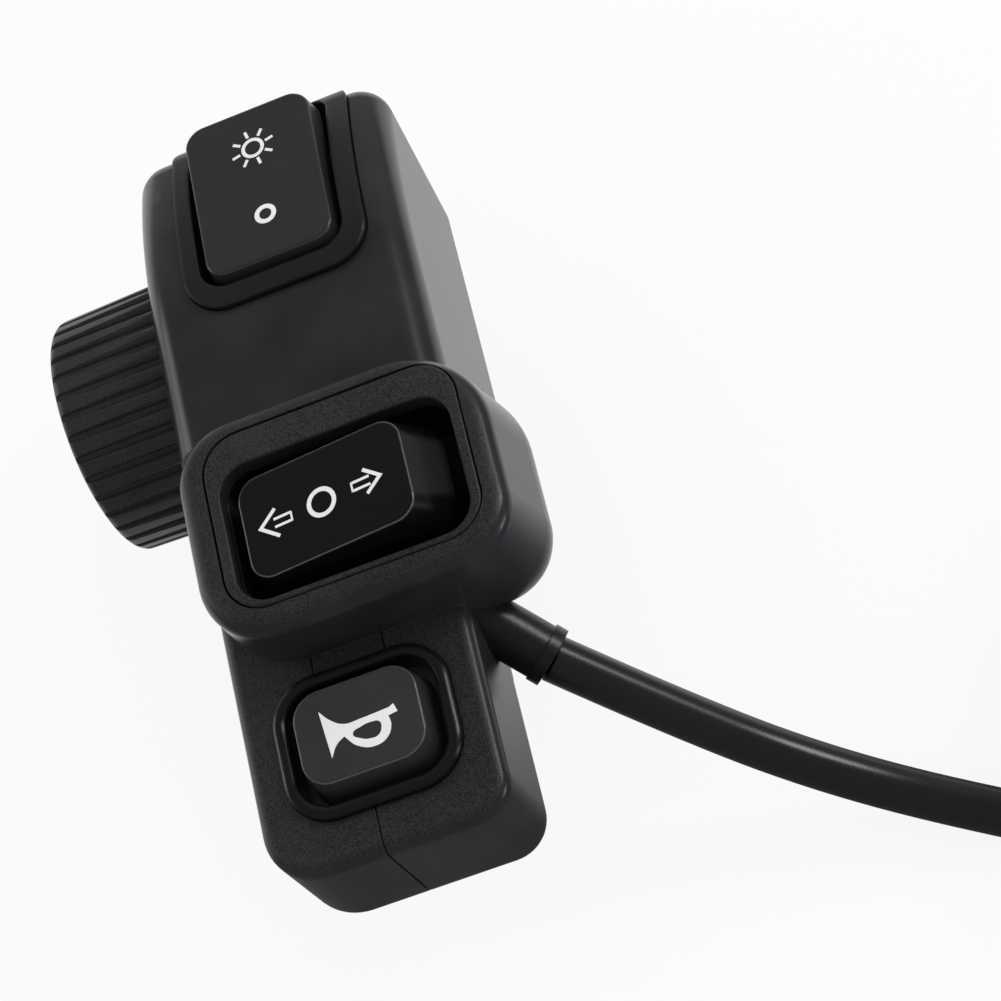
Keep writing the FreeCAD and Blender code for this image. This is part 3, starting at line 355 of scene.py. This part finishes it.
finish_nodes = (
    (housing_black, "housing", "rear_cover", "horn_cover", "clamp_cap"),
    (bezel_black, "headlight_bezel"),
    (insert_black, "turn_bezel"),
    (ring_black, "horn_ring"),
    (rocker_grey, "headlight_rocker"),
    (turn_black, "turn_rocker"),
    (button_black, "horn_button"),
    (dial_black, "dial"),
    (inner_black, "headlight_base", "turn_base", "horn_base", "dial_switch"),
    (cable_black, "cable_entry"),
    (sleeve_black, "cable_sleeve", "plug_boot"),
    (plug_nylon, "plug_body"),
    (board_green, "circuit_board"),
    (steel, "headlight_pin", "headlight_detent", "turn_pin", "horn_spring", "dial_shaft", "dial_nut"),
    (dark_steel, "cover_screws", "clamp_screws", "turn_detent", "turn_contacts"),
    (brass, "clamp_inserts", "headlight_contacts", "horn_contact", "horn_terminals", "plug_pins"),
)
for finish, *nodes in finish_nodes:
    for node in nodes:
        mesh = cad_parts[node].data
        mesh.materials.clear()
        mesh.materials.append(finish.material)


# Cable: one cord from the sleeve to the plug, over the put-away coil

def cable_route():
    """The cord's control points, millimetres."""
    plug_h = 10.0
    coil_r, turns, pitch, per_turn = 27.0, 2.25, 6.0, 16
    lead_in = 33.0
    tail_runs, tail_turn = (20.0, 26.0, 18.0), 31.0
    heading = Vector((0.86, -0.51, 0)).normalized()
    side = Vector((-heading.y, heading.x, 0))
    run = [Vector((19.4, -20.1, 10.4)), Vector((28.3, -26.6, 3.2)), Vector((40.6, -34.7, -6.2)),
           Vector((55.8, -43.6, floor_z + cable_d / 2))]
    centre = run[-1] + heading * lead_in + side * coil_r
    coil = []
    for k in range(round(turns * per_turn) + 1):
        a = 2 * pi * k / per_turn
        ahead, beside, rise = coil_r * sin(a), coil_r * cos(a), pitch * k / per_turn
        coil.append(centre + heading * ahead - side * beside + Vector((0, 0, rise)))
    tail = [coil[-1] + side * cable_d]
    for run_length, turn in zip(tail_runs, (0, tail_turn, 2 * tail_turn)):
        tail.append(tail[-1] + Matrix.Rotation(radians(turn), 3, "Z") @ side * run_length)
    tail[2].z = tail[3].z = floor_z + plug_h / 2
    return run + coil + tail


route = cable_route()
cable_data = bpy.data.curves.new("cable", "CURVE")
cable_data.dimensions = "3D"
spline = cable_data.splines.new("NURBS")
spline.points.add(len(route) - 1)
for point, at in zip(spline.points, route):
    point.co = (*(at * mm), 1.0)
spline.order_u = 3
spline.use_endpoint_u = True
spline.resolution_u = 8
cable_data.bevel_depth = cable_d / 2 * mm
cable_data.bevel_resolution = 6
cable_data.use_fill_caps = True
cable = add_object("cable", cable_data)
finish_piece(cable, "cable", "housing", cable_black.material)
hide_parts("cable_run", "cable_coil", "cable_tail")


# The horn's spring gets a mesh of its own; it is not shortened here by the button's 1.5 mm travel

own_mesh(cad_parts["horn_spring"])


# White marks: flat printed shapes a hair above the faces

print_h = 0.06


def stroke(a, b, width):
    """A printed bar from a to b with rounded corners, millimetres on the face."""
    corner = 0.3 * width
    (ax, ay), (bx, by) = a, b
    deselect()
    bpy.ops.mesh.primitive_cube_add(size=1, location=((ax + bx) / 2 * mm, (ay + by) / 2 * mm, 0),
                                    rotation=(0, 0, atan2(by - ay, bx - ax)))
    bar = bpy.context.object
    bar.scale = (hypot(bx - ax, by - ay) * mm, width * mm, print_h * mm)
    settle(bar)
    rounding = bar.modifiers.new("rounding", "BEVEL")
    rounding.width, rounding.segments, rounding.limit_method = corner * mm, 3, "NONE"
    rounding.affect = "EDGES"
    bpy.ops.object.modifier_apply(modifier="rounding")
    return bar


def hoop(x, y, outer, inner):
    """A printed ring."""
    deselect()
    bpy.ops.mesh.primitive_torus_add(location=(x * mm, y * mm, 0), major_segments=64, minor_segments=8,
                                     major_radius=(outer + inner) / 2 * mm,
                                     minor_radius=(outer - inner) / 2 * mm)
    ring = bpy.context.object
    ring.scale = (1, 1, print_h / (outer - inner))
    settle(ring)
    return ring


def flat_mark(name, outlines):
    """A printed shape inside closed outlines; each is its points and which of them are sharp."""
    data = bpy.data.curves.new(name, "CURVE")
    data.dimensions = "2D"
    data.fill_mode = "BOTH"
    data.extrude = print_h / 2 * mm
    for points, corners in outlines:
        line = data.splines.new("BEZIER")
        line.bezier_points.add(len(points) - 1)
        for k, (knot, (x, y)) in enumerate(zip(line.bezier_points, points)):
            knot.co = (x * mm, y * mm, 0)
            knot.handle_left_type = knot.handle_right_type = "VECTOR" if k in corners else "AUTO"
        line.use_cyclic_u = True
    choose(add_object(name, data))
    bpy.ops.object.convert(target="MESH")
    return bpy.context.object


def join_marks(parts, name, body, place):
    choose(*parts)
    bpy.ops.object.join()
    mark = bpy.context.object
    mark.matrix_world = place
    settle(mark)
    return finish_piece(mark, name, body, mark_white.material)


def shift(x, y, z):
    return Matrix.Translation((x * mm, y * mm, z * mm))


def tip(degrees, axis):
    return Matrix.Rotation(radians(degrees), 4, axis)


def sun(x, y):
    """A ring with eight rays."""
    outer, inner = 1.44, 0.97
    ray_from, ray_to, ray_w, first_ray, count = 1.68, 2.72, 0.38, 13, 8
    rays = []
    for k in range(count):
        a = radians(first_ray + 360 // count * k)
        near, far = [(x + r * cos(a), y + r * sin(a)) for r in (ray_from, ray_to)]
        rays.append(stroke(near, far, ray_w))
    return [hoop(x, y, outer, inner)] + rays


def arrow(tip_x, tip_y, way, wing_x, wing_y, bar_from, bar_to):
    """A hollow arrow: a chevron and the outline of its shaft."""
    width, side_y, side_w, end_y, end_w = 0.42, 0.48, 0.32, 0.6, 0.24
    reach = hypot(wing_x, wing_y)
    across, along = width * wing_x / reach, width * wing_y / reach
    half = [(0, 0), (wing_x, wing_y), (wing_x + along, wing_y - across), (width * reach / wing_y, 0)]
    outline = half + [(x, -y) for x, y in half[2:0:-1]]
    place = [(tip_x - way * x, tip_y + y) for x, y in outline]
    near, far = tip_x - way * bar_from, tip_x - way * bar_to
    bars = [stroke((near, tip_y + y), (far, tip_y + y), side_w) for y in (-side_y, side_y)]
    bars.append(stroke((far, tip_y - end_y), (far, tip_y + end_y), end_w))
    return [flat_mark("arrow", [(place, set(range(len(place))))])] + bars


def trumpet():
    """A post horn: flared bell, straight tube, mouthpiece and one loop of pipe."""
    bell_x, bell_y = -4.0, -26.1
    outer = [(bell_x, bell_y + 2.9), (-2.9, -24.6), (-1.5, -25.55), (0.4, -25.6), (3.7, -25.45), (4.3, -25.2),
             (4.6, -26.2), (3.5, -26.35), (3.6, -27.4), (2.9, -28.7), (1.4, -29.2), (-0.5, -28.5),
             (-1.75, -26.95), (-2.75, -27.6), (bell_x + 0.45, bell_y - 2.8)]
    sharp = {0, 4, 5, 6, 7, 12, 14}
    hole = [(-0.75, -27.0), (0.3, -26.5), (1.5, -26.38), (2.4, -26.65), (2.5, -27.3), (2.0, -28.1),
            (1.1, -28.2), (0, -27.8)]
    return flat_mark("mark_horn", [(outer, sharp), (hole, set())])


# The headlight rocker's face: from the column's curved front down to the pin, rocked, and up to the cap's top
head_x, head_y, head_z, head_tilt = 2.8, 43.1, 24.433, 14.096
head_rock, pin_depth, cap_rise = 9.0, 4.2, 1.3
head_face = (shift(head_x, head_y, head_z) @ tip(-head_tilt, "X") @ shift(0, 0, -pin_depth)
             @ tip(head_rock, "X") @ shift(0, 0, pin_depth + cap_rise))
join_marks(sun(0.3, 5.11), "mark_sun", "headlight_rocker", head_face)
join_marks([hoop(0.31, -4.88, outer=1.36, inner=0.74)], "mark_off", "headlight_rocker", head_face)

# The turn rocker is pressed on its left: its face lies square to a line 7 degrees off
turn_pin_x, turn_pin_z, turn_rise, turn_rock = 5.5, 21.0, 10.4, 7.0
turn_face = shift(turn_pin_x, 0, turn_pin_z) @ tip(-turn_rock, "Y") @ shift(-turn_pin_x, 0, turn_rise)
left_arrow = arrow(-3.1, -3.55, way=-1, wing_x=2.3, wing_y=1.86, bar_from=2.05, bar_to=4.2)
join_marks(left_arrow, "mark_left", "turn_rocker", turn_face)
join_marks([hoop(4.85, -3.5, outer=1.8, inner=1.25)], "mark_centre", "turn_rocker", turn_face)
right_arrow = arrow(12.45, -3.4, way=1, wing_x=2.05, wing_y=1.65, bar_from=1.6, bar_to=3.8)
join_marks(right_arrow, "mark_right", "turn_rocker", turn_face)

horn_top = 23.6
join_marks([trumpet()], "mark_horn", "horn_button", shift(0, 0, horn_top))


# Pale floor, world and lamps

def ray_kinds(tree):
    """Rays from the camera, also through glass, and glossy rays."""
    rays = tree.nodes.new("ShaderNodeLightPath").outputs
    return maths_in(tree)("MAXIMUM", rays["Is Camera Ray"], rays["Is Transmission Ray"]), rays["Is Glossy Ray"]


def stage_floor():
    """White to look at. The gloss sees it bright beside the pod's upper end and dark on the rider's side."""
    below, white = 0.02, (0.86, 0.86, 0.86, 1)
    lit_x, lit_y = (0.07, 0.16), (-0.040, 0.012)     # the bright part ends and begins over these metres
    lit_gain, shade = 0.92, 0.08
    white_share, gloss_share = 0.88, 0.92
    deselect()
    bpy.ops.mesh.primitive_plane_add(size=6, location=(0, 0, (floor_z - below) * mm))
    floor = bpy.context.object
    floor.name = "floor"
    surface = bpy.data.materials.new("floor white")
    surface.use_nodes = True
    tree = surface.node_tree
    tree.nodes.clear()
    do = maths_in(tree)
    out = tree.nodes.new("ShaderNodeOutputMaterial")
    plain, glow = tree.nodes.new("ShaderNodeBsdfDiffuse"), tree.nodes.new("ShaderNodeEmission")
    plain.inputs["Color"].default_value = white
    direct, glossy = ray_kinds(tree)
    place = coordinates(tree)
    near_pod = do("SUBTRACT", 1.0, ramp(tree, part_of(tree, place, "X"), *lit_x))
    lit = do("MULTIPLY", ramp(tree, part_of(tree, place, "Y"), *lit_y), near_pod)
    reflected = do("ADD", do("MULTIPLY", lit, lit_gain), shade)
    tree.links.new(do("ADD", direct, do("MULTIPLY", glossy, reflected)), glow.inputs["Strength"])
    mix = tree.nodes.new("ShaderNodeMixShader")
    glowing = do("ADD", do("MULTIPLY", direct, white_share), do("MULTIPLY", glossy, gloss_share))
    tree.links.new(glowing, mix.inputs[0])
    tree.links.new(plain.outputs[0], mix.inputs[1])
    tree.links.new(glow.outputs[0], mix.inputs[2])
    tree.links.new(mix.outputs[0], out.inputs["Surface"])
    floor.data.materials.append(surface)


def studio_world():
    """An even white room, which the gloss sees as dim, a little lighter beyond the pod's upper end."""
    dim, lighter, even_light, backdrop = 0.13, 0.25, 0.78, 0.22
    upper_end = (0.35, 0.95)
    world = bpy.data.worlds.new("studio")
    bpy.context.scene.world = world
    world.use_nodes = True
    tree = world.node_tree
    do = maths_in(tree)
    sky = tree.nodes["Background"]
    sky.inputs["Color"].default_value = (1, 1, 1, 1)
    direct, glossy = ray_kinds(tree)
    upwards = part_of(tree, coordinates(tree, "Generated"), "Y")
    walls = do("ADD", do("MULTIPLY", ramp(tree, upwards, *upper_end), lighter), dim)
    even = do("SUBTRACT", 1.0, glossy)
    strength = do("ADD", do("MULTIPLY", walls, glossy), do("MULTIPLY", even, even_light))
    strength = do("ADD", strength, do("MULTIPLY", direct, backdrop))
    tree.links.new(strength, sky.inputs["Strength"])


def lamp(name, at, aim, size, power):
    data = bpy.data.lights.new(name, "AREA")
    data.shape, data.size, data.energy = "DISK", size, power
    light = add_object(name, data)
    light.location = at
    light.rotation_euler = (Vector(aim) - Vector(at)).to_track_quat("-Z", "Y").to_euler()


stage_floor()
studio_world()
lamp("key", (0.42, 0.16, 0.34), (0, 0, 0), size=0.18, power=0.80)
lamp("low right", (0.46, -0.16, 0.03), (0, 0, 0.01), size=0.14, power=0.25)
lamp("left", (-0.45, 0.22, 0.16), (0, 0, 0), size=0.25, power=0.30)
bpy.context.scene.view_settings.view_transform = "Standard"
